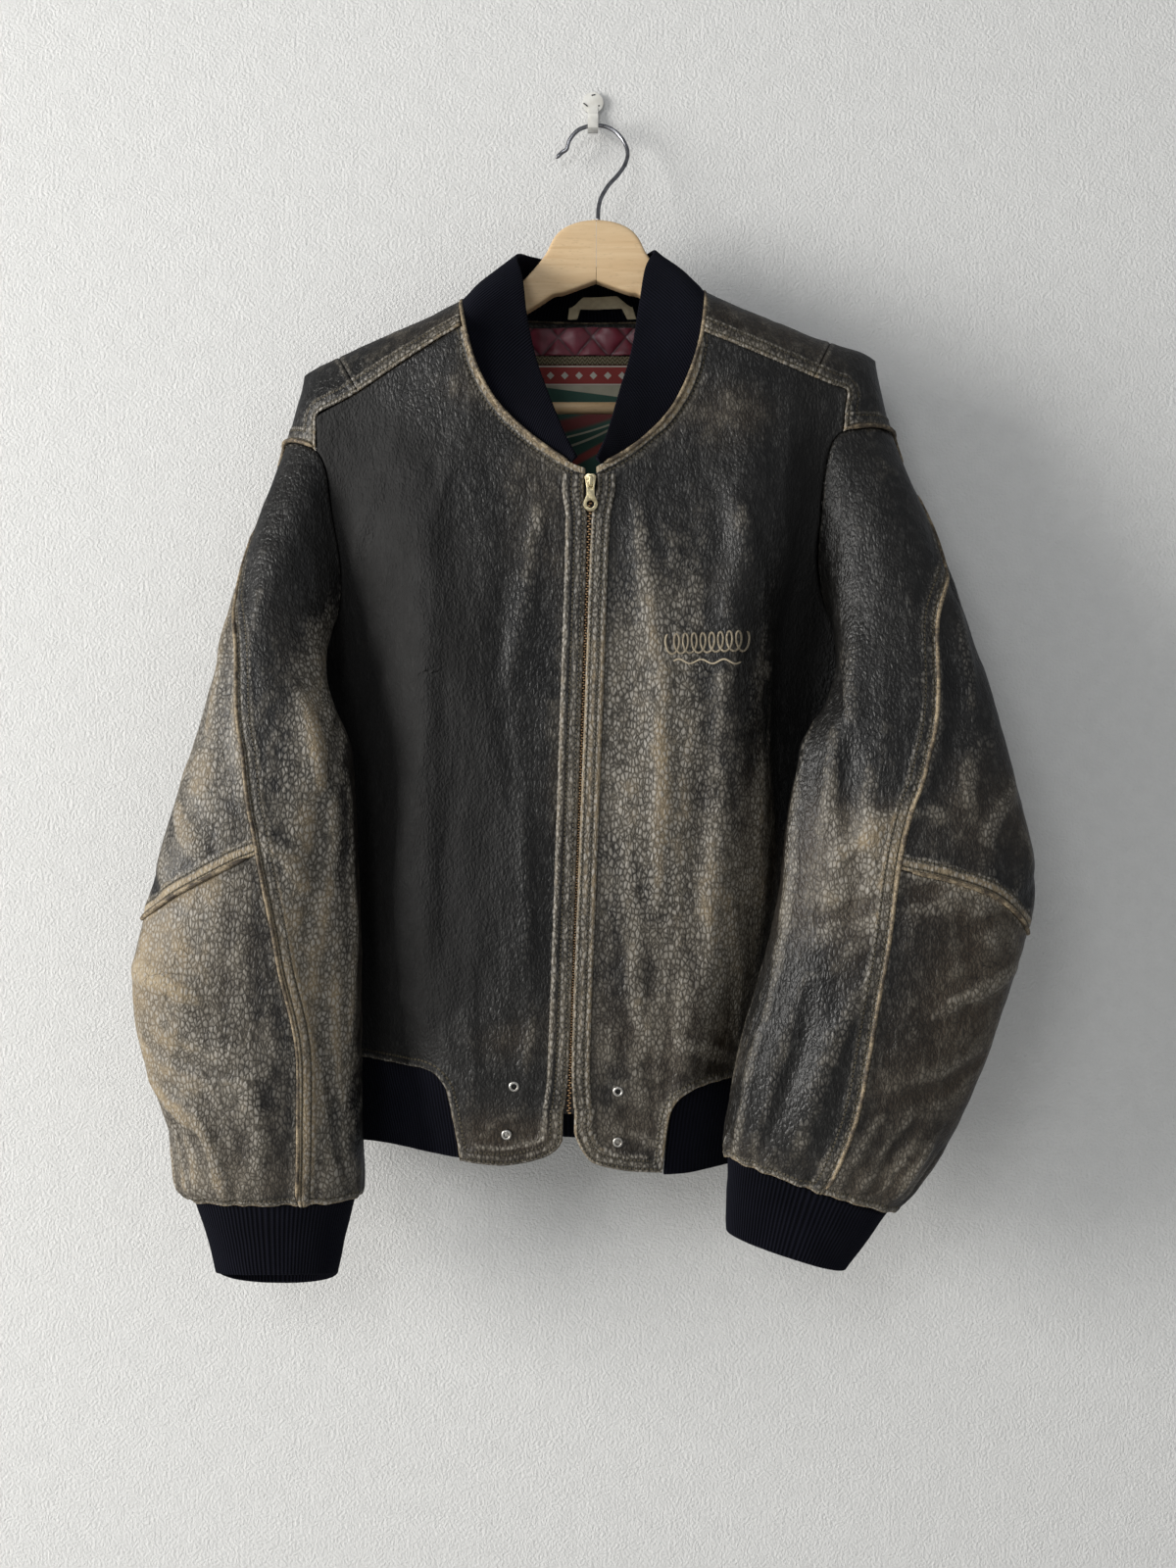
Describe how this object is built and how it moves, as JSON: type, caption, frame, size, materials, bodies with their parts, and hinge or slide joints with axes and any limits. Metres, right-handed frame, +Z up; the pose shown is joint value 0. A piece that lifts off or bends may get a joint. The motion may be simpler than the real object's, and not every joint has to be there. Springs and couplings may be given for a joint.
{
  "type": "worn leather bomber jacket on a wooden hanger and wall hook",
  "caption": "Zipped leather bomber jacket with rib-knit collar, cuffs and waistband, hanging by a wooden hanger from a small round wall hook.",
  "frame": {"origin": "middle of the wall hook's flat back, which lies on the wall", "axes": "+X to the right of someone facing the jacket, +Y into the wall, +Z up"},
  "size_m": [0.6929, 0.175, 0.9669],
  "materials": {
    "worn_leather": "worn, semi-gloss, creased",
    "worn_edge": "bare, rubbed edges and piping",
    "navy_rib_knit": "ribbed wool knit",
    "burgundy_quilting": "satin, diamond quilted",
    "printed_lining": "printed satin",
    "woven_braid": "woven zigzag braid",
    "cream_loop": "woven tape",
    "pale_brass": "tarnished",
    "old_nickel": "worn nickel plate",
    "hook_steel": "plated wire",
    "pale_beech": "clear lacquer",
    "white_plastic": "moulded, matt"
  },
  "bodies": {
    "jacket": {"armhole_piping_left": "worn_edge", "armhole_piping_right": "worn_edge", "back": "worn_leather", "braid": "woven_braid", "collar": "navy_rib_knit", "cuff_left": "navy_rib_knit", "cuff_right": "navy_rib_knit", "elbow_piping_left": "worn_edge", "elbow_piping_right": "worn_edge", "front_left": "worn_leather", "front_right": "worn_leather", "hanger_hook": "hook_steel", "hanger_left": "pale_beech", "hanger_right": "pale_beech", "lining_panel": "printed_lining", "lining_quilt": "burgundy_quilting", "loop_label": "cream_loop", "neck_piping": "worn_edge", "placket_left": "worn_leather", "placket_right": "worn_leather", "sleeve_lower_left": "worn_leather", "sleeve_lower_right": "worn_leather", "sleeve_piping_left": "worn_edge", "sleeve_piping_right": "worn_edge", "sleeve_under_left": "worn_leather", "sleeve_under_right": "worn_leather", "sleeve_upper_left": "worn_leather", "sleeve_upper_right": "worn_leather", "snap_1": "old_nickel", "snap_2": "old_nickel", "snap_3": "old_nickel", "snap_4": "old_nickel", "trouser_bar": "pale_beech", "waistband": "navy_rib_knit", "wall_hook": "white_plastic", "yoke_end_left": "worn_leather", "yoke_end_right": "worn_leather", "yoke_left": "worn_leather", "yoke_right": "worn_leather", "zip_chain": "pale_brass", "zip_slider": "pale_brass"},
    "pull_tab": {"pull_tab": "pale_brass"}
  },
  "joints": [
    {"name": "pull_tab_hinge", "type": "hinge", "parent": "jacket", "child": "pull_tab", "pos_m": [-0.00224, -0.13182, -0.345], "axis": [-1, 0, 0], "range_deg": [0, 165]}
  ]
}
